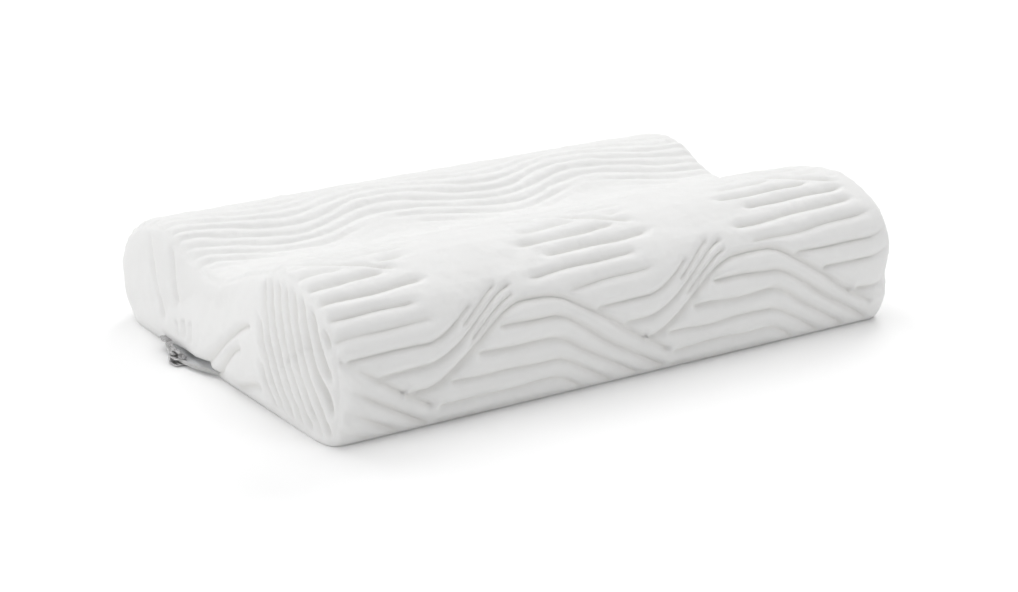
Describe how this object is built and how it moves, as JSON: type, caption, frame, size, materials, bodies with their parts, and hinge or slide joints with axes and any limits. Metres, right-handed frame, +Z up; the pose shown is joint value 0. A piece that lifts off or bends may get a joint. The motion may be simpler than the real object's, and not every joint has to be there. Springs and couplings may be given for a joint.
{
  "type": "memory foam pillow",
  "caption": "Contoured memory foam pillow with a high and a low lobe, a knitted cover puffed in wave channels and a zip end under one side.",
  "frame": {"origin": "centre of the bounding box at the level of the flat base", "axes": "+X along the pillow's length away from the zip end, -Y towards the high lobe's side, +Z up"},
  "size_m": [0.515, 0.35, 0.1091],
  "materials": {
    "knit_cover": "white double knit, matt, puffed in wave channels",
    "zip_tape": "white woven tape",
    "zip_coil": "white nylon coil",
    "zip_metal": "satin nickel plate"
  },
  "bodies": {
    "root": {"pillow_body": "knit_cover", "zip_tape": "zip_tape", "zip_coil": "zip_coil", "zip_slider": "zip_metal", "zip_pull": "zip_metal"}
  },
  "joints": []
}
